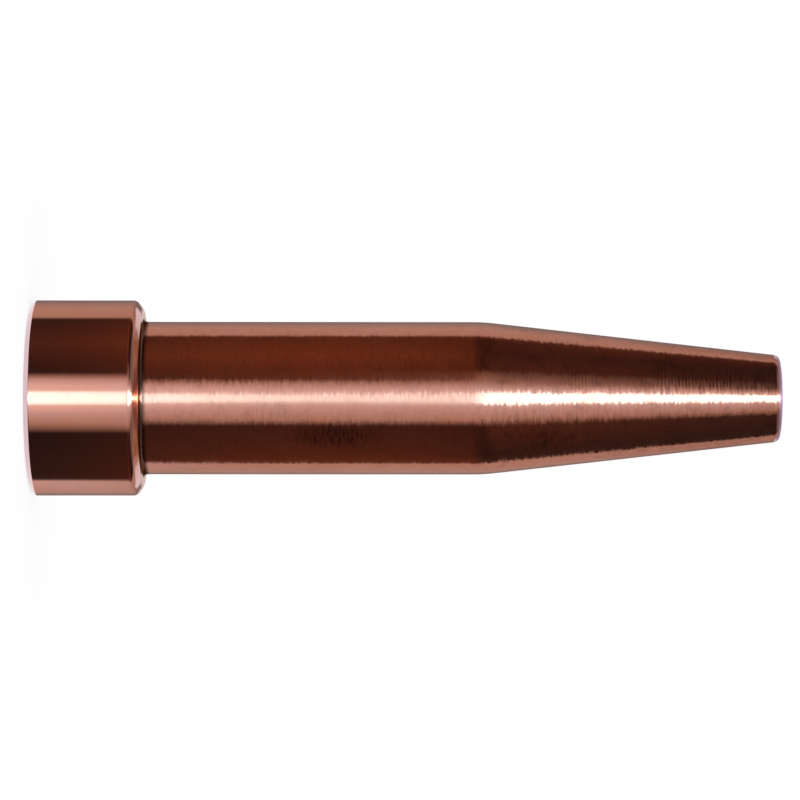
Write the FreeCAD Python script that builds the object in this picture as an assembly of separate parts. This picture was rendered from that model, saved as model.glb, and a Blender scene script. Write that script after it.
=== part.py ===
import FreeCAD, Part
import math
import os

# One-piece copper cutting tip with a flat seat, standing on its head.
# Origin at the centre of the flat seat, +Z along the tip's axis to the nose. Millimetres.

# Outside, in order from the seat to the nose
overall_length = 70.0
head_length = 10.5
shoulder_width = 2.0
barrel_diameter = 14.3
taper_length = 27.7
nose_diameter = 8.1

# Edges of the head, the root of the barrel and the nose
seat_chamfer_height = 0.5
seat_chamfer_width = 0.6
seat_edge_radius = 0.12
shoulder_chamfer_height = 0.6
shoulder_chamfer_width = 0.85
shoulder_edge_radius = 0.7
root_radius = 0.4
nose_edge_height = 0.55
nose_edge_width = 0.15
nose_edge_radius = 0.4

# Cutting oxygen bore, from its mouth in the seat to the jet in the nose
oxygen_bore_diameter = 3.2
oxygen_mouth_chamfer = 0.3
oxygen_throat_length = 3.0
oxygen_jet_diameter = 1.3
oxygen_jet_length = 16.0

# Preheat gas passages, swaged smaller and closer together along the taper
preheat_count = 6
preheat_passage_diameter = 1.7
preheat_port_diameter = 0.9
barrel_wall = 1.5
nose_wall = 1.3

# Ring groove in the seat that feeds every preheat passage
groove_depth = 1.2
groove_side_clearance = 0.15

barrel_radius = barrel_diameter / 2
head_radius = barrel_radius + shoulder_width
nose_radius = nose_diameter / 2
taper_start = overall_length - taper_length
jet_start = overall_length - oxygen_jet_length
throat_start = jet_start - oxygen_throat_length
passage_radius = preheat_passage_diameter / 2
port_radius = preheat_port_diameter / 2
passage_pitch_radius = barrel_radius - barrel_wall - passage_radius
port_pitch_radius = nose_radius - nose_wall - port_radius

origin = FreeCAD.Vector(0, 0, 0)
tip_axis = FreeCAD.Vector(0, 0, 1)
full_turn = 360.0
sharp = 0


# Points of a lathe outline lie in the XZ plane: x is the radius and z the height.
def outline_point(radius, height):
    return FreeCAD.Vector(radius, 0, height)


# The arc that rounds one corner, as its start, middle and end. It is limited by the sides beside it.
def corner_arc(before, corner, after, wanted_radius):
    to_before = before - corner
    to_after = after - corner
    half_angle = to_before.getAngle(to_after) / 2
    side_room = min(to_before.Length, to_after.Length) / 2
    setback = min(wanted_radius / math.tan(half_angle), side_room)
    arc_radius = setback * math.tan(half_angle)
    to_before.normalize()
    to_after.normalize()
    inward = to_before + to_after
    inward.normalize()
    centre = corner + inward * (arc_radius / math.sin(half_angle))
    start = corner + to_before * setback
    middle = centre - inward * arc_radius
    end = corner + to_after * setback
    return start, middle, end


# A closed outline from corners in order, each a point with the radius that rounds it, turned to a solid.
def turned_solid(corners):
    stretches = []
    for index, (corner, wanted_radius) in enumerate(corners):
        before = corners[index - 1][0]
        after = corners[(index + 1) % len(corners)][0]
        if wanted_radius > 0:
            stretches.append(corner_arc(before, corner, after, wanted_radius))
        else:
            stretches.append((corner,))
    edges = []
    for index, stretch in enumerate(stretches):
        if len(stretch) > 1:
            edges.append(Part.Arc(*stretch).toShape())
        next_start = stretches[(index + 1) % len(stretches)][0]
        edges.append(Part.LineSegment(stretch[-1], next_start).toShape())
    face = Part.Face(Part.Wire(edges))
    return face.revolve(origin, tip_axis, full_turn)


# Outside: chamfered head, flat nut shoulder, straight barrel and long taper to the nose
def outer_form():
    taper_slope = (barrel_radius - nose_radius) / taper_length
    nose_edge_start_radius = nose_radius + taper_slope * nose_edge_height
    corners = [
        (outline_point(0, 0), sharp),
        (outline_point(head_radius - seat_chamfer_width, 0), seat_edge_radius),
        (outline_point(head_radius, seat_chamfer_height), seat_edge_radius),
        (outline_point(head_radius, head_length - shoulder_chamfer_height), shoulder_edge_radius),
        (outline_point(head_radius - shoulder_chamfer_width, head_length), shoulder_edge_radius),
        (outline_point(barrel_radius, head_length), root_radius),
        (outline_point(barrel_radius, taper_start), sharp),
        (outline_point(nose_edge_start_radius, overall_length - nose_edge_height), nose_edge_radius),
        (outline_point(nose_radius - nose_edge_width, overall_length), nose_edge_radius),
        (outline_point(0, overall_length), sharp),
    ]
    return turned_solid(corners)


# Cutting oxygen: a bore from the seat, a short conical throat and a straight jet to the nose
def oxygen_passage():
    bore_radius = oxygen_bore_diameter / 2
    jet_radius = oxygen_jet_diameter / 2
    corners = [
        (outline_point(0, 0), sharp),
        (outline_point(bore_radius + oxygen_mouth_chamfer, 0), sharp),
        (outline_point(bore_radius, oxygen_mouth_chamfer), sharp),
        (outline_point(bore_radius, throat_start), sharp),
        (outline_point(jet_radius, jet_start), sharp),
        (outline_point(jet_radius, overall_length), sharp),
        (outline_point(0, overall_length), sharp),
    ]
    return turned_solid(corners)


# Ring groove, centred on the preheat passages that open in its floor
def seat_groove():
    inner_radius = passage_pitch_radius - passage_radius - groove_side_clearance
    outer_radius = passage_pitch_radius + passage_radius + groove_side_clearance
    outer = Part.makeCylinder(outer_radius, groove_depth)
    inner = Part.makeCylinder(inner_radius, groove_depth)
    return outer.cut(inner)


# A level ring of the preheat passage, at a share of the taper measured from its start
def passage_ring(taper_share):
    pitch_radius = passage_pitch_radius + (port_pitch_radius - passage_pitch_radius) * taper_share
    ring_radius = passage_radius + (port_radius - passage_radius) * taper_share
    centre = outline_point(pitch_radius, taper_start + taper_length * taper_share)
    return Part.Wire(Part.makeCircle(ring_radius, centre, tip_axis))


# One preheat passage: straight along the barrel, then leaning in and narrowing along the taper
def preheat_passage():
    mouth = outline_point(passage_pitch_radius, 0)
    straight = Part.makeCylinder(passage_radius, taper_start, mouth, tip_axis)
    as_solid = True
    leaning = Part.makeLoft([passage_ring(0), passage_ring(1)], as_solid)
    return straight.fuse(leaning)


def cutting_tip():
    tip = outer_form().cut([oxygen_passage(), seat_groove()])
    passage = preheat_passage()
    for number in range(preheat_count):
        turned = passage.copy()
        turned.rotate(origin, tip_axis, full_turn * number / preheat_count)
        tip = tip.cut(turned)
    return tip


os.makedirs("parts", exist_ok=True)
cutting_tip().exportStep("parts/cutting_tip.step")
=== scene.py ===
from math import atan2, cos, degrees, pi, radians, sin, tan

import bmesh
import bpy
from mathutils import Matrix, Vector


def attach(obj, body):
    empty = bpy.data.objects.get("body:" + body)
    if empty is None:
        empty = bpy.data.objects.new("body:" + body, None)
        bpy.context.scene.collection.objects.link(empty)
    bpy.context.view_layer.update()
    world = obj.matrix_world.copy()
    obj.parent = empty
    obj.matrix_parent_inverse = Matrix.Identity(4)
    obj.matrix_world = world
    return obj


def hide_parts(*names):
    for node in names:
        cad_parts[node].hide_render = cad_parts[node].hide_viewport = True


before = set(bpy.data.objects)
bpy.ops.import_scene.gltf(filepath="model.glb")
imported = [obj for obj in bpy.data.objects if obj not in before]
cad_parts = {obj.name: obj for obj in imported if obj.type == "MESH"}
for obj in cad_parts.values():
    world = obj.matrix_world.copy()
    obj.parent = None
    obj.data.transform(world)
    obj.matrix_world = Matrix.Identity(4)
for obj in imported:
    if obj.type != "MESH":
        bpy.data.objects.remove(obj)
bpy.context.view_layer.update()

mm = 0.001


def linearColour(hexCode, strength=1.0):
    channels = [int(hexCode[i:i + 2], 16) / 255 for i in (1, 3, 5)]
    linear = [c / 12.92 if c <= 0.04045 else ((c + 0.055) / 1.055) ** 2.4 for c in channels]
    return (*[c * strength for c in linear], 1.0)


def addNode(tree, kind, inputs=None, **settings):
    node = tree.nodes.new(kind)
    for name, value in settings.items():
        setattr(node, name, value)
    for key, value in (inputs or {}).items():
        if isinstance(value, bpy.types.NodeSocket):
            tree.links.new(value, node.inputs[key])
        else:
            node.inputs[key].default_value = value
    return node


def newMaterial(name):
    material = bpy.data.materials.new(name)
    material.use_nodes = True
    material.node_tree.nodes.clear()
    return material, material.node_tree


# Camera: looks square at the side of the tip from about five tip lengths, with the nose to the right
photoCamera = {
    "distanceMm": 357.0,
    "heightMm": 34.5,
    "acrossMm": 0.155,
    "lensMm": 171.4,
    "rollDegrees": 0.05,
}

cameraData = bpy.data.cameras.new("photoCamera")
cameraData.lens = photoCamera["lensMm"]
cameraData.clip_start = 0.01
cameraData.clip_end = 10
camera = bpy.data.objects.new("photoCamera", cameraData)
bpy.context.scene.collection.objects.link(camera)
onItsSide = Matrix(((0, -1, 0), (0, 0, -1), (1, 0, 0))).to_4x4()  # image right is +Z, image up is -X
cameraPlace = Vector((photoCamera["acrossMm"], -photoCamera["distanceMm"], photoCamera["heightMm"])) * mm
roll = Matrix.Rotation(radians(photoCamera["rollDegrees"]), 4, "Z")
camera.matrix_world = Matrix.Translation(cameraPlace) @ onItsSide @ roll
bpy.context.scene.camera = camera
print("camera placed")


# Cutting tip, in millimetres. The sizes repeat the CAD source.
tipSizes = {
    "length": 70.0,
    "headLength": 10.5,
    "headRadius": 9.15,
    "barrelRadius": 7.15,
    "noseRadius": 4.05,
    "taperLength": 27.7,
    "taperBlend": 1.0,          # how far the soft break between barrel and taper runs each way
    "boreRadius": 1.6,
    "jetRadius": 0.65,
    "grooveRadii": (3.8, 5.8),
    "grooveDepth": 1.2,
    "passageRadius": 0.85,
    "passagePitchRadius": 4.8,
    "portRadius": 0.45,
    "portPitchRadius": 2.3,
    "passageCount": 6,
    "turnSteps": 360,           # faces round the tip, enough for a clean outline close up
    "arcStepDegrees": 6.0,
}


def roundedOutline(corners):
    # Each corner is (radius, height, rounding). Arcs get short straight leads at both ends, so that the
    # long faces beside them stay flat in their shading.
    points = []
    for index, (r, z, rounding) in enumerate(corners):
        corner = Vector((r, z))
        before = Vector(corners[index - 1][:2])
        after = Vector(corners[(index + 1) % len(corners)][:2])
        back = (before - corner).normalized()
        ahead = (after - corner).normalized()
        if rounding == 0:
            points.append(corner)
            continue
        halfAngle = back.angle(ahead) / 2
        setback = rounding / tan(halfAngle)
        centre = corner + (back + ahead).normalized() * (rounding / sin(halfAngle))
        start = corner + back * setback
        end = corner + ahead * setback
        sweep = pi - 2 * halfAngle
        steps = max(3, round(degrees(sweep) / tipSizes["arcStepDegrees"]))
        startAngle = atan2(start.y - centre.y, start.x - centre.x)
        turn = (atan2(end.y - centre.y, end.x - centre.x) - startAngle + pi) % (2 * pi) - pi
        lead = 0.04
        points.append(start + back * lead)
        for step in range(steps + 1):
            angle = startAngle + turn * step / steps
            points.append(centre + Vector((cos(angle), sin(angle))) * rounding)
        points.append(end + ahead * lead)
    return points


def tipOutline(s):
    taperStart = s["length"] - s["taperLength"]
    slope = (s["barrelRadius"] - s["noseRadius"]) / s["taperLength"]
    breakAngle = atan2(slope, 1)
    breakRounding = s["taperBlend"] / tan(breakAngle / 2)
    headEdge = 0.7
    inner, outer = s["grooveRadii"]
    corners = [
        (s["boreRadius"] + 0.3, 0, 0.05),
        (inner, 0, 0.06),
        (inner, s["grooveDepth"], 0.05),
        (outer, s["grooveDepth"], 0.05),
        (outer, 0, 0.06),
        (s["headRadius"] - 0.6, 0, 0.12),
        (s["headRadius"], 0.5, 0.12),
        (s["headRadius"], s["headLength"] - 0.6, headEdge),
        (s["headRadius"] - 0.85, s["headLength"], headEdge),
        (s["barrelRadius"], s["headLength"], 0.4),
        (s["barrelRadius"], taperStart, breakRounding),
        (s["noseRadius"] + slope * 0.55, s["length"] - 0.55, 0.4),
        (s["noseRadius"] - 0.15, s["length"], 0.4),
        (s["jetRadius"], s["length"], 0.05),
        (s["jetRadius"], s["length"] - 16, 0),
        (s["boreRadius"], s["length"] - 19, 0),
        (s["boreRadius"], 0.3, 0.05),
    ]
    return roundedOutline(corners)


def turnedMesh(name, outline, steps):
    # Revolves a closed outline round the Z axis
    mesh = bpy.data.meshes.new(name)
    turned = bmesh.new()
    rings = []
    for step in range(steps):
        angle = 2 * pi * step / steps
        rings.append([turned.verts.new((r * mm * cos(angle), r * mm * sin(angle), z * mm)) for r, z in outline])
    for step in range(steps):
        here, following = rings[step], rings[(step + 1) % steps]
        for i in range(len(outline)):
            j = (i + 1) % len(outline)
            turned.faces.new((here[i], following[i], following[j], here[j]))
    bmesh.ops.recalc_face_normals(turned, faces=turned.faces)
    turned.to_mesh(mesh)
    turned.free()
    return mesh


def passageDrill(s, number):
    # The shape of one preheat passage: straight along the barrel, then in and narrower to the nose
    around = 48
    taperStart = s["length"] - s["taperLength"]
    past = 0.5
    narrowing = (s["passageRadius"] - s["portRadius"]) / s["taperLength"]
    leaning = (s["passagePitchRadius"] - s["portPitchRadius"]) / s["taperLength"]
    stations = [
        (s["passagePitchRadius"], s["passageRadius"], s["grooveDepth"] - past),
        (s["passagePitchRadius"], s["passageRadius"], taperStart),
        (s["portPitchRadius"] - leaning * past, s["portRadius"] - narrowing * past, s["length"] + past),
    ]
    direction = 2 * pi * number / s["passageCount"]
    drill = bmesh.new()
    rings = []
    for pitch, radius, z in stations:
        ring = []
        for step in range(around):
            angle = 2 * pi * step / around
            x, y = pitch + radius * cos(angle), radius * sin(angle)
            ring.append(drill.verts.new((
                (x * cos(direction) - y * sin(direction)) * mm,
                (x * sin(direction) + y * cos(direction)) * mm,
                z * mm,
            )))
        rings.append(ring)
    for lower, upper in zip(rings, rings[1:]):
        for i in range(around):
            j = (i + 1) % around
            drill.faces.new((lower[i], lower[j], upper[j], upper[i]))
    drill.faces.new(list(reversed(rings[0])))
    drill.faces.new(rings[-1])
    mesh = bpy.data.meshes.new("passageDrill")
    drill.to_mesh(mesh)
    drill.free()
    return mesh


def makeCuttingTip(s):
    tip = bpy.data.objects.new("cuttingTip", turnedMesh("cuttingTip", tipOutline(s), s["turnSteps"]))
    bpy.context.scene.collection.objects.link(tip)
    drills = []
    for number in range(s["passageCount"]):
        drill = bpy.data.objects.new("passageDrill", passageDrill(s, number))
        bpy.context.scene.collection.objects.link(drill)
        drills.append(drill)
        cut = tip.modifiers.new("preheat passage", "BOOLEAN")
        cut.operation = "DIFFERENCE"
        cut.solver = "EXACT"
        cut.object = drill
    depsgraph = bpy.context.evaluated_depsgraph_get()
    drilled = bpy.data.meshes.new_from_object(tip.evaluated_get(depsgraph))
    tip.modifiers.clear()
    tip.data = drilled
    for drill in drills:
        bpy.data.objects.remove(drill, do_unlink=True)
    for polygon in drilled.polygons:
        polygon.use_smooth = True
    drilled.set_sharp_from_angle(angle=radians(24))
    return tip


cuttingTip = makeCuttingTip(tipSizes)
print("cutting tip turned and drilled:", len(cuttingTip.data.polygons), "faces")


# Turned and polished copper: a warm salmon metal, mirror bright on the head. On the barrel and taper the
# turning marks lean a little to either side, which breaks up the edges of the highlights.
copperFinish = {
    "cleanCopper": "#F6B29D",
    "warmCopper": "#F2A68A",
    "dulledCopper": "#CF9280",
    "dulledShare": {"head": 0.15, "barrel": 0.4, "taper": 0.8},
    "stainedCopper": "#7E5244",
    "stainShare": {"head": 0.0, "barrel": 0.12, "taper": 0.3},
    "darkPatchColour": "#3A2E2E",
    "darkPatchPlaceMm": (3.5, -6.2, 28.6),
    "darkPatchReachMm": (1.4, 1.4, 5.0),
    "darkPatchShare": 0.6,
    "rootPaintedShade": "#86665A",   # painted shade: the root of the barrel drawn dark
    # painted shade: a duller specular tint in the same root
    "rootEdge": "#A08C84",
    "noseRimPaintedSheen": "#C4A2C2",     # painted lavender sheen on the rim of the nose
    "noseSheenSpecularTint": "#A090A8",
    "noseSheenRoughness": 0.45,
    "noseSheenMetal": 0.55,
    "seatPaintedSheen": "#DCC6C8",     # painted pale sheen on the chamfer of the seat
    "anisotropy": 0.8,
    "roughness": {"head": 0.11, "barrel": 0.12, "taper": 0.14},
    "streakRoughness": {"head": 0.02, "barrel": 0.06, "taper": 0.08},
    "lean": {"head": 0.008, "barrel": 0.07, "taper": 0.13},
    "dimpleMm": 0.3,
    "dimpleDepthMm": {"head": 0.0, "barrel": 0.0006, "taper": 0.0015},
    "streakWidthMm": 0.2,       # turning marks along the tip, drawn wide enough to show
    "streakLengthMm": 0.9,      # the same marks round the tip
    "feedPitchMm": 0.26,        # one turn of the lathe tool, left showing in patches
    "feedDepthMm": {"head": 0.0, "barrel": 0.0003, "taper": 0.0014},
    "faceCrowding": 1.7,        # how much closer the marks lie on the flat faces
    # Slow patterns: how many to a mm, and the span of the noise over which each one comes in
    "streakSpan": (0.4, 0.72),
    "feedPatchPerMm": 0.3,
    "feedPatchSpan": (0.52, 0.68),
    "tintPerMm": 0.25,
    "cloudPerMm": 0.8,
    "cloudSpan": (0.5, 0.72),
    "stainPerMm": (0.5, 0.5, 0.14),
    "stainSpan": (0.53, 0.66),
    "combSpan": (0.38, 0.6),
    "combLeast": 0.25,          # what is left of a stain between the marks
    # Where the finishes change, as heights and distances from the axis
    "barrelFromMm": (10.0, 10.6),
    "taperFromMm": (40.5, 44.0),
    "seatSheenToMm": (0.55, 0.45),
    "rootFromMm": 10.3,
    "rootToMm": (10.85, 11.15),
    "rootEdgeMm": (7.42, 7.56),
    "noseSheenFromMm": (69.55, 69.85),
    "noseRimMm": (3.2, 3.7),
}


def byZone(tree, height, values):
    # One value on the head, another on the barrel, another on the taper, with short changes between them
    headEnd, barrelStart = copperFinish["barrelFromMm"]
    barrelEnd, taperStart = copperFinish["taperFromMm"]
    offHead = addNode(tree, "ShaderNodeMapRange", {
        "Value": height, "From Min": headEnd, "From Max": barrelStart,
        "To Min": values["head"], "To Max": values["barrel"]})
    onTaper = addNode(tree, "ShaderNodeMapRange", {
        "Value": height, "From Min": barrelEnd, "From Max": taperStart, "To Min": 0.0,
        "To Max": values["taper"] - values["barrel"]})
    return addNode(tree, "ShaderNodeMath", {0: offHead.outputs[0], 1: onTaper.outputs[0]},
                   operation="ADD").outputs[0]


def turnedCopper(f):
    material, tree = newMaterial("turnedPolishedCopper")
    place = addNode(tree, "ShaderNodeTexCoord").outputs["Object"]
    inMm = addNode(tree, "ShaderNodeVectorMath", {0: place, "Scale": 1000.0}, operation="SCALE").outputs[0]
    axes = addNode(tree, "ShaderNodeSeparateXYZ", {0: inMm})
    height = axes.outputs[2]
    flatPlace = addNode(tree, "ShaderNodeCombineXYZ", {0: axes.outputs[0], 1: axes.outputs[1]})
    radius = addNode(tree, "ShaderNodeVectorMath", {0: flatPlace.outputs[0]}, operation="LENGTH").outputs["Value"]
    # Distance across the turning marks: along the tip on its sides, and outwards on its flat faces
    across = addNode(tree, "ShaderNodeMath", {0: radius, 1: f["faceCrowding"], 2: height},
                     operation="MULTIPLY_ADD").outputs[0]
    stretched = addNode(tree, "ShaderNodeMath", {0: across, 1: f["streakLengthMm"] / f["streakWidthMm"]},
                        operation="MULTIPLY").outputs[0]
    streakPlace = addNode(tree, "ShaderNodeCombineXYZ", {0: axes.outputs[0], 1: axes.outputs[1], 2: stretched})
    streaks = addNode(tree, "ShaderNodeTexNoise", {
        "Vector": streakPlace.outputs[0], "Scale": 1 / f["streakLengthMm"], "Detail": 2.0, "Roughness": 0.6})
    streakShare = addNode(tree, "ShaderNodeMapRange", {
        "Value": streaks.outputs["Fac"], "From Min": f["streakSpan"][0], "From Max": f["streakSpan"][1]}).outputs[0]
    rough = addNode(tree, "ShaderNodeMath", {
        0: byZone(tree, height, f["streakRoughness"]), 1: streakShare, 2: byZone(tree, height, f["roughness"])},
        operation="MULTIPLY_ADD").outputs[0]

    dimples = addNode(tree, "ShaderNodeTexNoise", {
        "Vector": inMm, "Scale": 1 / f["dimpleMm"], "Detail": 1.0, "Roughness": 0.5})
    dimpleRise = addNode(tree, "ShaderNodeMath", {
        0: dimples.outputs["Fac"], 1: byZone(tree, height, f["dimpleDepthMm"])}, operation="MULTIPLY")
    patches = addNode(tree, "ShaderNodeTexNoise", {
        "Vector": inMm, "Scale": f["feedPatchPerMm"], "Detail": 1.0})
    patchShare = addNode(tree, "ShaderNodeMapRange", {
        "Value": patches.outputs["Fac"],
        "From Min": f["feedPatchSpan"][0], "From Max": f["feedPatchSpan"][1]})
    feedDepth = addNode(tree, "ShaderNodeMath", {
        0: patchShare.outputs[0], 1: byZone(tree, height, f["feedDepthMm"])}, operation="MULTIPLY")
    feedAngle = addNode(tree, "ShaderNodeMath", {0: across, 1: 2 * pi / f["feedPitchMm"]}, operation="MULTIPLY")
    feedWave = addNode(tree, "ShaderNodeMath", {0: feedAngle.outputs[0]}, operation="SINE")
    rise = addNode(tree, "ShaderNodeMath", {
        0: feedWave.outputs[0], 1: feedDepth.outputs[0], 2: dimpleRise.outputs[0]}, operation="MULTIPLY_ADD")
    bump = addNode(tree, "ShaderNodeBump", {"Height": rise.outputs[0], "Strength": 1.0, "Distance": mm})
    tangent = addNode(tree, "ShaderNodeTangent", direction_type="RADIAL", axis="Z")
    side = addNode(tree, "ShaderNodeMath", {0: streaks.outputs["Fac"], 1: 0.5}, operation="SUBTRACT")
    lean = addNode(tree, "ShaderNodeMath", {0: side.outputs[0], 1: byZone(tree, height, f["lean"])},
                   operation="MULTIPLY")
    leaned = addNode(tree, "ShaderNodeVectorMath", {
        0: tangent.outputs[0], 1: lean.outputs[0], 2: bump.outputs[0]}, operation="MULTIPLY_ADD")
    normal = addNode(tree, "ShaderNodeVectorMath", {0: leaned.outputs[0]}, operation="NORMALIZE")

    # Slow changes of tint and faint dull clouds
    slow = addNode(tree, "ShaderNodeTexNoise", {
        "Vector": inMm, "Scale": f["tintPerMm"], "Detail": 2.0})
    tint = addNode(tree, "ShaderNodeMix", {
        0: slow.outputs["Fac"], 6: linearColour(f["cleanCopper"]), 7: linearColour(f["warmCopper"])},
        data_type="RGBA")
    clouds = addNode(tree, "ShaderNodeTexNoise", {
        "Vector": inMm, "Scale": f["cloudPerMm"], "Detail": 4.0, "Roughness": 0.65})
    cloudShare = addNode(tree, "ShaderNodeMapRange", {
        "Value": clouds.outputs["Fac"], "From Min": f["cloudSpan"][0], "From Max": f["cloudSpan"][1]})
    dullness = addNode(tree, "ShaderNodeMath", {
        0: cloudShare.outputs[0], 1: byZone(tree, height, f["dulledShare"])}, operation="MULTIPLY")
    dulled = addNode(tree, "ShaderNodeMix", {
        0: dullness.outputs[0], 6: tint.outputs[2], 7: linearColour(f["dulledCopper"])}, data_type="RGBA")
    # Brown stains in long thin patches, combed through by the turning marks
    longPlace = addNode(tree, "ShaderNodeVectorMath", {0: inMm, 1: f["stainPerMm"]}, operation="MULTIPLY")
    stains = addNode(tree, "ShaderNodeTexNoise", {"Vector": longPlace.outputs[0], "Scale": 1.0, "Detail": 3.0})
    stainPatch = addNode(tree, "ShaderNodeMapRange", {
        "Value": stains.outputs["Fac"], "From Min": f["stainSpan"][0], "From Max": f["stainSpan"][1]})
    combed = addNode(tree, "ShaderNodeMapRange", {
        "Value": streaks.outputs["Fac"], "From Min": f["combSpan"][0], "From Max": f["combSpan"][1],
        "To Min": f["combLeast"], "To Max": 1.0})
    stainShape = addNode(tree, "ShaderNodeMath", {0: stainPatch.outputs[0], 1: combed.outputs[0]},
                         operation="MULTIPLY")
    stainShare = addNode(tree, "ShaderNodeMath", {
        0: stainShape.outputs[0], 1: byZone(tree, height, f["stainShare"])}, operation="MULTIPLY")
    stained = addNode(tree, "ShaderNodeMix", {
        0: stainShare.outputs[0], 6: dulled.outputs[2], 7: linearColour(f["stainedCopper"])}, data_type="RGBA")
    # One dark patch low on the front of the barrel, combed by the same marks
    fromDarkPatch = addNode(tree, "ShaderNodeVectorMath", {0: inMm, 1: f["darkPatchPlaceMm"]}, operation="SUBTRACT")
    inReaches = addNode(tree, "ShaderNodeVectorMath", {0: fromDarkPatch.outputs[0], 1: f["darkPatchReachMm"]},
                        operation="DIVIDE")
    darkPatchDistance = addNode(tree, "ShaderNodeVectorMath", {0: inReaches.outputs[0]}, operation="LENGTH")
    darkPatchShape = addNode(tree, "ShaderNodeMapRange", {
        "Value": darkPatchDistance.outputs["Value"], "From Min": 1.0, "From Max": 0.4, "To Min": 0.0,
        "To Max": f["darkPatchShare"]})
    darkPatchShare = addNode(tree, "ShaderNodeMath", {0: darkPatchShape.outputs[0], 1: combed.outputs[0]},
                          operation="MULTIPLY")
    darkPatched = addNode(tree, "ShaderNodeMix", {
        0: darkPatchShare.outputs[0], 6: stained.outputs[2], 7: linearColour(f["darkPatchColour"])}, data_type="RGBA")
    # Painted sheen: the chamfer of the seat is drawn pale
    onSeat = addNode(tree, "ShaderNodeMapRange", {
        "Value": height, "From Min": f["seatSheenToMm"][0], "From Max": f["seatSheenToMm"][1]})
    seatSheened = addNode(tree, "ShaderNodeMix", {
        0: onSeat.outputs[0], 6: darkPatched.outputs[2], 7: linearColour(f["seatPaintedSheen"])}, data_type="RGBA")
    # Painted shade: the root of the barrel is drawn in a darker colour, with a duller specular tint
    aboveRoot = addNode(tree, "ShaderNodeMapRange", {
        "Value": height, "From Min": f["rootToMm"][0], "From Max": f["rootToMm"][1], "To Min": 1.0, "To Max": 0.0})
    insideRoot = addNode(tree, "ShaderNodeMapRange", {
        "Value": radius, "From Min": f["rootEdgeMm"][0], "From Max": f["rootEdgeMm"][1],
        "To Min": 1.0, "To Max": 0.0})
    pastHead = addNode(tree, "ShaderNodeMath", {0: height, 1: f["rootFromMm"]}, operation="GREATER_THAN")
    nearRoot = addNode(tree, "ShaderNodeMath", {0: aboveRoot.outputs[0], 1: insideRoot.outputs[0]},
                       operation="MULTIPLY")
    inRoot = addNode(tree, "ShaderNodeMath", {0: nearRoot.outputs[0], 1: pastHead.outputs[0]},
                     operation="MULTIPLY")
    rootShaded = addNode(tree, "ShaderNodeMix", {
        0: inRoot.outputs[0], 6: seatSheened.outputs[2], 7: linearColour(f["rootPaintedShade"])}, data_type="RGBA")
    # Painted sheen: the rim of the nose is drawn lavender, part matte and part metal, with a lavender specular tint
    onNose = addNode(tree, "ShaderNodeMapRange", {
        "Value": height, "From Min": f["noseSheenFromMm"][0], "From Max": f["noseSheenFromMm"][1]})
    onRim = addNode(tree, "ShaderNodeMapRange", {
        "Value": radius, "From Min": f["noseRimMm"][0], "From Max": f["noseRimMm"][1]})
    noseSheen = addNode(tree, "ShaderNodeMath", {0: onNose.outputs[0], 1: onRim.outputs[0]}, operation="MULTIPLY")
    noseSheened = addNode(tree, "ShaderNodeMix", {
        0: noseSheen.outputs[0], 6: rootShaded.outputs[2], 7: linearColour(f["noseRimPaintedSheen"])}, data_type="RGBA")
    rootShadeTint = addNode(tree, "ShaderNodeMix", {
        0: inRoot.outputs[0], 6: linearColour("#FFFFFF"), 7: linearColour(f["rootEdge"])}, data_type="RGBA")
    edgeTint = addNode(tree, "ShaderNodeMix", {
        0: noseSheen.outputs[0], 6: rootShadeTint.outputs[2], 7: linearColour(f["noseSheenSpecularTint"])}, data_type="RGBA")
    metallic = addNode(tree, "ShaderNodeMapRange", {
        "Value": noseSheen.outputs[0], "To Min": 1.0, "To Max": f["noseSheenMetal"]})
    roughness = addNode(tree, "ShaderNodeMix", {0: noseSheen.outputs[0], 2: rough, 3: f["noseSheenRoughness"]})
    metal = addNode(tree, "ShaderNodeBsdfPrincipled", {
        "Base Color": noseSheened.outputs[2], "Metallic": metallic.outputs[0], "Roughness": roughness.outputs[0],
        "Anisotropic": f["anisotropy"], "Anisotropic Rotation": 0.25,
        "Tangent": tangent.outputs[0], "Normal": normal.outputs[0],
        "Specular Tint": edgeTint.outputs[2]})
    addNode(tree, "ShaderNodeOutputMaterial", {"Surface": metal.outputs[0]})
    return material


cuttingTip.data.materials.clear()
cuttingTip.data.materials.append(turnedCopper(copperFinish))
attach(cuttingTip, "root")
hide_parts("cutting_tip")
print("copper finished")


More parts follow.
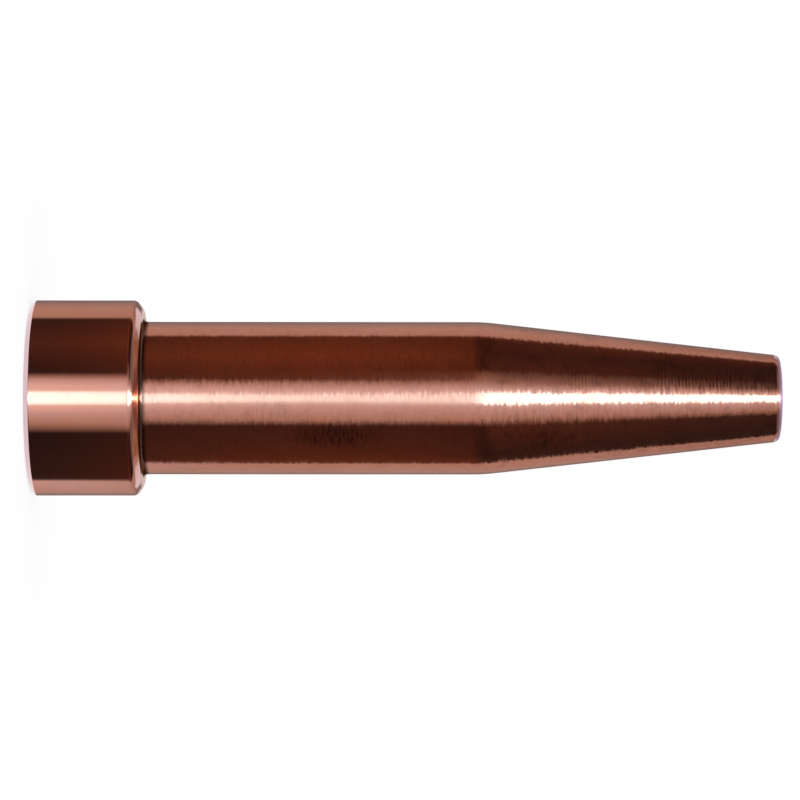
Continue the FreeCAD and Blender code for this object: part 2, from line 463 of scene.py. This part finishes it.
# Studio: white floor and surroundings, one soft lamp overhead, and a round light tent that only the metal mirrors
studio = {
    "floorSizeM": 6.0,
    "shadowShare": 0.14,
    "shadowFromM": 0.03,
    "shadowReachM": 0.16,
    "lampWatts": 2.9,
    "lampSizeM": 0.5,
    "lampHeightM": 0.7,
    "lampForwardM": 0.1,
    "roomLevel": 0.5,
    "tentRadiusM": 0.5,
    "tentHalfHeightM": 0.6,
    "tentTurnDegrees": -1.2,
    "stripColour": "#98E0F4",
    "stripStrength": 3.0,
    "stripDegrees": -1.2,
    "flagColour": "#241A1C",
    "lidMiddle": "#A08C7E",
    "lidBack": "#8C7660",
    "skyAbove": "#D8E8FF",
    "skyLevel": 1.1,
    "wallBehind": "#D4CCC8",
    "lightBelow": "#F2E8EA",
    "belowLevel": 1.15,
    "crownColour": "#FFF6EE",
    "crownStrength": 6.0,
    # Heights over which one ring of the tent changes into the next
    "middleFromM": (-0.027, -0.021),
    "highFromM": (0.062, 0.074),
    "highestFromM": (0.075, 0.105),
    "aboveFromM": (0.36, 0.44),
    "belowFromM": (-0.16, -0.2),
    "lidFromM": (0.595, 0.598),
    "bowM": 0.11,               # how much lower the highest ring hangs at the back
    # Depths at which the lid's cloth changes, counted backwards from the tip
    "lidMiddleFromM": (0.05, 0.1),
    "lidBackFromM": (0.25, 0.32),
    # Reach of each light or flag, as stops of a height or a bearing with the share that shows there
    "flagHeightsM": [(0.052, 0.0), (0.064, 1.0), (0.116, 1.0), (0.136, 0.0)],
    "flagDegrees": [(36.0, 0.0), (45.0, 1.0), (97.2, 1.0), (106.2, 0.0)],
    "skyHeightsM": [(0.16, 0.0), (0.2, 1.0), (0.43, 1.0), (0.48, 0.0)],
    "skyFromDegrees": (136, 150),
    "wallHeightsM": [(-0.06, 0.0), (-0.036, 1.0), (0.18, 1.0), (0.22, 0.0)],
    "wallFromDegrees": (167, 171),
    "lightBelowFromDegrees": (112, 135),
    "lightBelowFromM": (-0.07, -0.1),
    # The strip's half width in degrees at each height, and how much of that is its soft edge
    "stripReach": [(-0.026, 9.5), (-0.018, 7.0), (0.04, 7.0), (0.056, 11.0)],
    "stripSoftDegrees": 4.5,
    "crownFromM": (0.31, 0.35),
    "crownEdgeDegrees": (9, 5),
}

# The tent's few cloths and boards
tentCloths = {
    "white": "#F0F4FC",
    "pale": "#CCD0DC",
    "grey": "#B4A8A2",
    "shade": "#98887E",
    "dim": "#787678",
    "dark": "#484648",
    "lightBoard": "#74482F",
    "brownBoard": "#5C3A2A",
    "umberBoard": "#46302A",
    "soot": "#2E2828",
    "black": "#1E1C20",
}

# Rings of the tent. Each has a dark flag on either side of the camera and cloth everywhere else. Edges are in
# degrees from the front, counted towards the image's top. A flag's cloths go from its outer side to its inner one.
# The head mirrors the low ring, the barrel the middle one, the taper the high one and its end the highest.
tentRings = {
    "low": {
        "flagBelow": ("soot", "black"), "belowEdges": (-112, -42), "belowSoft": 12,
        "flagAbove": ("soot", "umberBoard", "black"), "aboveEdges": (105, 28), "aboveSoft": 6,
        "frontDegrees": 13, "besideDegrees": 20, "cloth": "grey", "outerCloth": "pale",
    },
    "middle": {
        "flagBelow": ("brownBoard", "umberBoard"), "belowEdges": (-115, -42), "belowSoft": 9,
        "flagAbove": ("brownBoard", "lightBoard", "brownBoard"), "aboveEdges": (105, 27), "aboveSoft": 8,
        "frontDegrees": 2, "besideDegrees": 12, "cloth": "grey", "outerCloth": "grey",
    },
    "high": {
        "flagBelow": ("soot", "brownBoard"), "belowEdges": (-115, -44), "belowSoft": 12,
        "flagAbove": ("brownBoard", "umberBoard", "brownBoard"), "aboveEdges": (105, 42), "aboveSoft": 20,
        "frontDegrees": 6, "besideDegrees": 14, "cloth": "grey", "outerCloth": "grey",
    },
    "highest": {
        "flagBelow": ("soot", "soot"), "belowEdges": (-114, -45), "belowSoft": 9,
        "flagAbove": ("umberBoard", "black", "black"), "aboveEdges": (108, 25), "aboveSoft": 7,
        "frontDegrees": 6, "besideDegrees": 13, "cloth": "shade", "outerCloth": "grey",
    },
    "above": {
        "flagBelow": ("dim", "dim"), "belowEdges": (-112, -40), "belowSoft": 12,
        "flagAbove": ("dim", "dim", "dim"), "aboveEdges": (106, 30), "aboveSoft": 10,
        "frontDegrees": 8, "besideDegrees": 14, "cloth": "grey", "outerCloth": "grey",
    },
    "below": {
        "flagBelow": ("umberBoard", "umberBoard"), "belowEdges": (-110, -30), "belowSoft": 8,
        "flagAbove": ("umberBoard", "umberBoard", "umberBoard"), "aboveEdges": (110, 30), "aboveSoft": 8,
        "frontDegrees": 8, "besideDegrees": 14, "cloth": "grey", "outerCloth": "grey",
    },
}

# Strip of bright cloth down the front: its level by height in millimetres, as a share of the brightest
stripLevels = [
    (-60, 0.85), (-26, 0.85), (-20, 0.34), (26, 0.22), (42, 0.0), (66, 0.0), (84, 1.0), (300, 1.0), (340, 0.0),
]


def whiteToEye(tree):
    # 1 for rays from the camera and for those mirrored by or seen through the object
    path = addNode(tree, "ShaderNodeLightPath")
    seen = addNode(tree, "ShaderNodeMath", {
        0: path.outputs["Is Camera Ray"], 1: path.outputs["Is Glossy Ray"]}, operation="MAXIMUM")
    return addNode(tree, "ShaderNodeMath", {
        0: seen.outputs[0], 1: path.outputs["Is Transmission Ray"]}, operation="MAXIMUM").outputs[0]


def makeRoom(s):
    world = bpy.data.worlds.new("whiteRoom")
    bpy.context.scene.world = world
    world.use_nodes = True
    tree = world.node_tree
    tree.nodes.clear()
    room = addNode(tree, "ShaderNodeBackground", {"Color": linearColour("#FFFFFF"), "Strength": s["roomLevel"]})
    backdrop = addNode(tree, "ShaderNodeBackground", {"Color": linearColour("#FFFFFF"), "Strength": 1.0})
    shown = addNode(tree, "ShaderNodeMixShader", {0: whiteToEye(tree), 1: room.outputs[0], 2: backdrop.outputs[0]})
    addNode(tree, "ShaderNodeOutputWorld", {"Surface": shown.outputs[0]})


def makeFloor(s):
    half = s["floorSizeM"] / 2
    mesh = bpy.data.meshes.new("floor")
    mesh.from_pydata([(-half, -half, 0), (half, -half, 0), (half, half, 0), (-half, half, 0)], [], [(0, 1, 2, 3)])
    floor = bpy.data.objects.new("floor", mesh)
    bpy.context.scene.collection.objects.link(floor)
    material, tree = newMaterial("whiteSweep")
    lit = addNode(tree, "ShaderNodeBsdfDiffuse", {"Color": linearColour("#FFFFFF")})
    glow = addNode(tree, "ShaderNodeEmission", {"Color": linearColour("#FFFFFF"), "Strength": 1.0})
    # The shadow shows near the tip, and further out the floor runs into the white surroundings
    place = addNode(tree, "ShaderNodeTexCoord").outputs["Object"]
    distance = addNode(tree, "ShaderNodeVectorMath", {0: place}, operation="LENGTH")
    glowShare = addNode(tree, "ShaderNodeMapRange", {
        "Value": distance.outputs["Value"], "From Min": s["shadowFromM"], "From Max": s["shadowReachM"],
        "To Min": 1 - s["shadowShare"], "To Max": 1.0}, interpolation_type="SMOOTHSTEP")
    share = addNode(tree, "ShaderNodeMath", {0: whiteToEye(tree), 1: glowShare.outputs[0]}, operation="MULTIPLY")
    surface = addNode(tree, "ShaderNodeMixShader", {0: share.outputs[0], 1: lit.outputs[0], 2: glow.outputs[0]})
    addNode(tree, "ShaderNodeOutputMaterial", {"Surface": surface.outputs[0]})
    floor.data.materials.append(material)
    floor.visible_glossy = False    # the tent goes on below the floor in the metal


def makeLamp(s):
    lampData = bpy.data.lights.new("softLamp", "AREA")
    lampData.shape = "DISK"
    lampData.size = s["lampSizeM"]
    lampData.energy = s["lampWatts"]
    lamp = bpy.data.objects.new("softLamp", lampData)
    lamp.location = (0, -s["lampForwardM"], s["lampHeightM"])
    lamp.visible_glossy = False
    bpy.context.scene.collection.objects.link(lamp)


def addRamp(tree, factor, stops):
    ramp = addNode(tree, "ShaderNodeValToRGB", {0: factor})
    elements = ramp.color_ramp.elements
    elements.remove(elements[1])
    elements[0].position, elements[0].color = stops[0]
    for position, colour in stops[1:]:
        elements.new(position).color = colour
    return ramp.outputs[0]


def followStops(tree, value, span, stops):
    # A number that follows the stops, each a value and the number there. The span is what the ramp covers.
    start, end = span
    share = addNode(tree, "ShaderNodeMapRange", {"Value": value, "From Min": start, "From Max": end})
    return addRamp(tree, share.outputs[0], [
        ((at - start) / (end - start), (number, number, number, 1)) for at, number in stops])


def ringStops(ring):
    # Cloth and boards of one ring, from the back round by the image's bottom, the front and the top
    outerBelow, innerBelow = ring["belowEdges"]
    outerAbove, innerAbove = ring["aboveEdges"]
    below, above = ring["flagBelow"], ring["flagAbove"]
    front, beside, cloth = ring["frontDegrees"], ring["besideDegrees"], ring["cloth"]
    return [
        (-180, "dark"), (-166, "dim"), (-148, cloth), (outerBelow - 4, ring["outerCloth"]),
        (outerBelow, below[0]), (innerBelow, below[1]), (innerBelow + ring["belowSoft"], cloth),
        (-beside, "pale"), (-front, "white"), (front, "white"), (beside, "pale"),
        (innerAbove - ring["aboveSoft"], cloth), (innerAbove, above[2]), ((innerAbove + outerAbove) / 2, above[1]),
        (outerAbove, above[0]), (outerAbove + 4, "grey"), (130, cloth), (162, "dim"), (180, "dark"),
    ]


def makeTent(s):
    tentShape = bmesh.new()
    bmesh.ops.create_cone(tentShape, cap_ends=True, segments=180, radius1=s["tentRadiusM"],
                          radius2=s["tentRadiusM"], depth=2 * s["tentHalfHeightM"])
    mesh = bpy.data.meshes.new("lightTent")
    tentShape.to_mesh(mesh)
    tentShape.free()
    tent = bpy.data.objects.new("lightTent", mesh)
    bpy.context.scene.collection.objects.link(tent)
    material, tree = newMaterial("tentCloth")
    place = addNode(tree, "ShaderNodeTexCoord").outputs["Object"]
    axes = addNode(tree, "ShaderNodeSeparateXYZ", {0: place})
    towardsTop = addNode(tree, "ShaderNodeMath", {0: axes.outputs[0], 1: -1.0}, operation="MULTIPLY")
    towardsFront = addNode(tree, "ShaderNodeMath", {0: axes.outputs[1], 1: -1.0}, operation="MULTIPLY")
    bearing = addNode(tree, "ShaderNodeMath", {0: towardsTop.outputs[0], 1: towardsFront.outputs[0]},
                      operation="ARCTAN2")
    share = addNode(tree, "ShaderNodeMapRange", {
        "Value": bearing.outputs[0], "From Min": -pi, "From Max": pi, "To Min": 0.0, "To Max": 1.0})
    ringColours = {}
    for name, ring in tentRings.items():
        ringColours[name] = addRamp(tree, share.outputs[0], [
            ((degrees + 180) / 360, linearColour(tentCloths[cloth])) for degrees, cloth in ringStops(ring)])

    def changeOver(value, ends, first, second):
        # From one colour to another while the value goes from one end to the other
        progress = addNode(tree, "ShaderNodeMapRange", {"Value": value, "From Min": ends[0], "From Max": ends[1]})
        return addNode(tree, "ShaderNodeMix", {0: progress.outputs[0], 6: first, 7: second},
                       data_type="RGBA").outputs[2]

    height, depth = axes.outputs[2], axes.outputs[1]
    fromFront = addNode(tree, "ShaderNodeMath", {0: bearing.outputs[0]}, operation="ABSOLUTE").outputs[0]
    # The highest ring hangs lower towards the back, because one ring of the taper mirrors it like that
    halfBearing = addNode(tree, "ShaderNodeMath", {0: bearing.outputs[0], 1: 0.5}, operation="MULTIPLY")
    bow = addNode(tree, "ShaderNodeMath", {0: halfBearing.outputs[0]}, operation="COSINE")
    bowed = addNode(tree, "ShaderNodeMath", {0: bow.outputs[0], 1: -s["bowM"], 2: height},
                    operation="MULTIPLY_ADD")
    rings = changeOver(height, s["middleFromM"], ringColours["low"], ringColours["middle"])
    rings = changeOver(height, s["highFromM"], rings, ringColours["high"])
    rings = changeOver(bowed.outputs[0], s["highestFromM"], rings, ringColours["highest"])
    # A dark flag on each side at the level that the break before the taper mirrors
    flagLevel = followStops(tree, height, (0.0, 0.2), s["flagHeightsM"])
    flagSide = followStops(tree, fromFront, (0.0, pi), [
        (radians(degrees), shown) for degrees, shown in s["flagDegrees"]])
    flag = addNode(tree, "ShaderNodeMath", {0: flagLevel, 1: flagSide}, operation="MULTIPLY")
    flagged = addNode(tree, "ShaderNodeMix", {
        0: flag.outputs[0], 6: rings, 7: linearColour(s["flagColour"])}, data_type="RGBA").outputs[2]
    cloth = changeOver(height, s["aboveFromM"], flagged, ringColours["above"])
    cloth = changeOver(height, s["belowFromM"], cloth, ringColours["below"])
    # The lid is like the ring under it at the front, then pale, and brown at the very back
    lidColour = changeOver(depth, s["lidBackFromM"], linearColour(s["lidMiddle"]), linearColour(s["lidBack"]))
    lidColour = changeOver(depth, s["lidMiddleFromM"], ringColours["above"], lidColour)
    cloth = changeOver(height, s["lidFromM"], cloth, lidColour)
    # Behind the tip the cloth is thin: daylight above, a pale wall straight behind, a light box below
    behindAbove = addNode(tree, "ShaderNodeMapRange", {
        "Value": fromFront, "From Min": radians(s["skyFromDegrees"][0]),
        "From Max": radians(s["skyFromDegrees"][1])})
    wellAbove = followStops(tree, height, (0.0, 0.5), s["skyHeightsM"])
    skyShare = addNode(tree, "ShaderNodeMath", {0: behindAbove.outputs[0], 1: wellAbove}, operation="MULTIPLY")
    straightBehind = addNode(tree, "ShaderNodeMapRange", {
        "Value": fromFront, "From Min": radians(s["wallFromDegrees"][0]),
        "From Max": radians(s["wallFromDegrees"][1])})
    atLevel = followStops(tree, height, (-0.1, 0.3), s["wallHeightsM"])
    wallShare = addNode(tree, "ShaderNodeMath", {0: straightBehind.outputs[0], 1: atLevel}, operation="MULTIPLY")
    behindBelow = addNode(tree, "ShaderNodeMapRange", {
        "Value": fromFront, "From Min": radians(s["lightBelowFromDegrees"][0]),
        "From Max": radians(s["lightBelowFromDegrees"][1])})
    wellBelow = addNode(tree, "ShaderNodeMapRange", {
        "Value": height, "From Min": s["lightBelowFromM"][0], "From Max": s["lightBelowFromM"][1]})
    belowShare = addNode(tree, "ShaderNodeMath", {0: behindBelow.outputs[0], 1: wellBelow.outputs[0]},
                         operation="MULTIPLY")
    lit = cloth
    for share, colour in (
            (skyShare, linearColour(s["skyAbove"], s["skyLevel"])),
            (wallShare, linearColour(s["wallBehind"])),
            (belowShare, linearColour(s["lightBelow"], s["belowLevel"]))):
        lit = addNode(tree, "ShaderNodeMix", {0: share.outputs[0], 6: lit, 7: colour}, data_type="RGBA").outputs[2]
    # The strip of bright cloth in front
    fromStrip = addNode(tree, "ShaderNodeMath", {0: bearing.outputs[0], 1: radians(-s["stripDegrees"])},
                        operation="ADD")
    offStrip = addNode(tree, "ShaderNodeMath", {0: fromStrip.outputs[0]}, operation="ABSOLUTE")
    # It is narrow at the barrel's level, wider at the head's and widest at the taper's
    reach = followStops(tree, height, (-0.1, 0.1), s["stripReach"])
    stripEdge = addNode(tree, "ShaderNodeMath", {0: reach, 1: radians(1)}, operation="MULTIPLY")
    stripCore = addNode(tree, "ShaderNodeMath", {0: stripEdge.outputs[0], 1: radians(s["stripSoftDegrees"])},
                        operation="SUBTRACT")
    stripShape = addNode(tree, "ShaderNodeMapRange", {
        "Value": offStrip.outputs[0], "From Min": stripEdge.outputs[0], "From Max": stripCore.outputs[0]},
        interpolation_type="SMOOTHSTEP")
    lowest, highest = stripLevels[0][0], stripLevels[-1][0]
    level = followStops(tree, height, (lowest * mm, highest * mm), [
        (heightMm * mm, part) for heightMm, part in stripLevels])
    stripLevel = addNode(tree, "ShaderNodeMath", {0: stripShape.outputs[0], 1: level}, operation="MULTIPLY")
    fullLevel = addNode(tree, "ShaderNodeMath", {0: stripLevel.outputs[0], 1: s["stripStrength"]},
                        operation="MULTIPLY")
    glow = addNode(tree, "ShaderNodeEmission", {"Color": lit, "Strength": 1.0})
    strip = addNode(tree, "ShaderNodeEmission", {
        "Color": linearColour(s["stripColour"]), "Strength": fullLevel.outputs[0]})
    # Over the crown the strip is a brighter lamp, which goes on along the front of the lid
    inCrown = addNode(tree, "ShaderNodeMapRange", {
        "Value": height, "From Min": s["crownFromM"][0], "From Max": s["crownFromM"][1]})
    inFront = addNode(tree, "ShaderNodeMapRange", {
        "Value": offStrip.outputs[0], "From Min": radians(s["crownEdgeDegrees"][0]),
        "From Max": radians(s["crownEdgeDegrees"][1])})
    crownShare = addNode(tree, "ShaderNodeMath", {0: inCrown.outputs[0], 1: inFront.outputs[0]},
                         operation="MULTIPLY")
    crownLevel = addNode(tree, "ShaderNodeMath", {0: crownShare.outputs[0], 1: s["crownStrength"]},
                         operation="MULTIPLY")
    crown = addNode(tree, "ShaderNodeEmission", {
        "Color": linearColour(s["crownColour"]), "Strength": crownLevel.outputs[0]})
    strips = addNode(tree, "ShaderNodeAddShader", {0: strip.outputs[0], 1: crown.outputs[0]})
    both = addNode(tree, "ShaderNodeAddShader", {0: glow.outputs[0], 1: strips.outputs[0]})
    addNode(tree, "ShaderNodeOutputMaterial", {"Surface": both.outputs[0]})
    tent.data.materials.append(material)
    tent.rotation_euler.z = radians(s["tentTurnDegrees"])
    tent.visible_camera = False
    tent.visible_diffuse = False
    tent.visible_shadow = False


makeRoom(studio)
makeFloor(studio)
makeLamp(studio)
makeTent(studio)
bpy.context.scene.view_settings.view_transform = "Standard"
print("studio set up")
